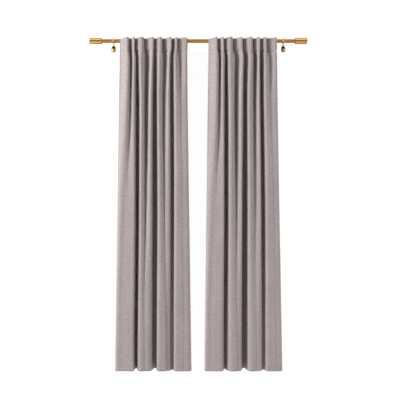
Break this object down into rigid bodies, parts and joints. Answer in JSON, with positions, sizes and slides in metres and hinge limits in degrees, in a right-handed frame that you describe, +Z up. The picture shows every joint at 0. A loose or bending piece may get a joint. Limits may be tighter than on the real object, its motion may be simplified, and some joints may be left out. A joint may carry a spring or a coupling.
{
  "type": "window curtains on a rod",
  "caption": "Back-tab window curtains gathered on a brass-tone tubular rod with cylinder finials, held off the wall by turned ring brackets.",
  "frame": {"origin": "centre of the four wall-screw holes, on the wall plane at the backs of the wall plates", "axes": "+Z up, -Y towards the room, +Y into the wall, +X along the rod to the viewer's right"},
  "size_m": [1.602, 0.143, 2.443],
  "materials": {
    "rod_brass": "satin",
    "inner_tube_steel": "satin",
    "finial_brass": "satin",
    "collar_plastic": "matte",
    "screw_steel": "satin",
    "bracket_brass": "satin",
    "pillar_brass": "satin",
    "dark_brass": "satin",
    "pale_brass": "satin",
    "liner_plastic": "matte",
    "curtain_cloth": "matte",
    "tab_cloth": "matte"
  },
  "bodies": {
    "rod_frame": {"rod_tube_left": "rod_brass", "wall_plate_left": "bracket_brass", "arm_left": "bracket_brass", "pillar_barrel_left": "pillar_brass", "pillar_dome_left": "dark_brass", "pillar_stem_left": "pale_brass", "ring_left": "pale_brass", "ring_liner_left": "liner_plastic", "wall_plate_right": "bracket_brass", "arm_right": "bracket_brass", "pillar_barrel_right": "pillar_brass", "pillar_dome_right": "dark_brass", "pillar_stem_right": "pale_brass", "ring_right": "pale_brass", "ring_liner_right": "liner_plastic"},
    "rod_extension": {"rod_tube_right": "rod_brass", "rod_joiner": "inner_tube_steel"},
    "finial_left": {"finial_sleeve_left": "finial_brass", "finial_disc_left": "finial_brass", "finial_collar_left": "collar_plastic"},
    "finial_lock_left": {"finial_screw_left": "screw_steel"},
    "ring_lock_left": {"ring_screw_left": "screw_steel"},
    "curtain_left": {"curtain_left": "curtain_cloth", "tab_left_1": "tab_cloth", "tab_left_2": "tab_cloth", "tab_left_3": "tab_cloth", "tab_left_4": "tab_cloth", "tab_left_5": "tab_cloth", "tab_left_6": "tab_cloth", "tab_left_7": "tab_cloth", "tab_left_8": "tab_cloth"},
    "finial_right": {"finial_sleeve_right": "finial_brass", "finial_disc_right": "finial_brass", "finial_collar_right": "collar_plastic"},
    "finial_lock_right": {"finial_screw_right": "screw_steel"},
    "ring_lock_right": {"ring_screw_right": "screw_steel"},
    "curtain_right": {"curtain_right": "curtain_cloth", "tab_right_1": "tab_cloth", "tab_right_2": "tab_cloth", "tab_right_3": "tab_cloth", "tab_right_4": "tab_cloth", "tab_right_5": "tab_cloth", "tab_right_6": "tab_cloth", "tab_right_7": "tab_cloth", "tab_right_8": "tab_cloth"}
  },
  "joints": [
    {"name": "rod_telescope", "type": "slide", "parent": "rod_frame", "child": "rod_extension", "axis": [1, 0, 0], "range_m": [0, 0.15]},
    {"name": "curtain_left_slide", "type": "slide", "parent": "rod_frame", "child": "curtain_left", "axis": [1, 0, 0], "range_m": [-0.028, 0.042]},
    {"name": "curtain_right_slide", "type": "slide", "parent": "rod_frame", "child": "curtain_right", "axis": [-1, 0, 0], "range_m": [-0.028, 0.042]},
    {"name": "finial_left_pull", "type": "slide", "parent": "rod_frame", "child": "finial_left", "axis": [-1, 0, 0], "range_m": [0, 0.04]},
    {"name": "finial_right_pull", "type": "slide", "parent": "rod_extension", "child": "finial_right", "axis": [1, 0, 0], "range_m": [0, 0.04]},
    {"name": "finial_left_screw_turn", "type": "hinge", "parent": "finial_left", "child": "finial_lock_left", "pos_m": [-0.7295, -0.065, 0.046], "axis": [0, 1, 0], "continuous": true},
    {"name": "ring_left_screw_turn", "type": "hinge", "parent": "rod_frame", "child": "ring_lock_left", "pos_m": [-0.6265, -0.065, 0.046], "axis": [0, 1, 0], "continuous": true},
    {"name": "finial_right_screw_turn", "type": "hinge", "parent": "finial_right", "child": "finial_lock_right", "pos_m": [0.7295, -0.065, 0.046], "axis": [0, 1, 0], "continuous": true},
    {"name": "ring_right_screw_turn", "type": "hinge", "parent": "rod_frame", "child": "ring_lock_right", "pos_m": [0.6265, -0.065, 0.046], "axis": [0, 1, 0], "continuous": true}
  ]
}
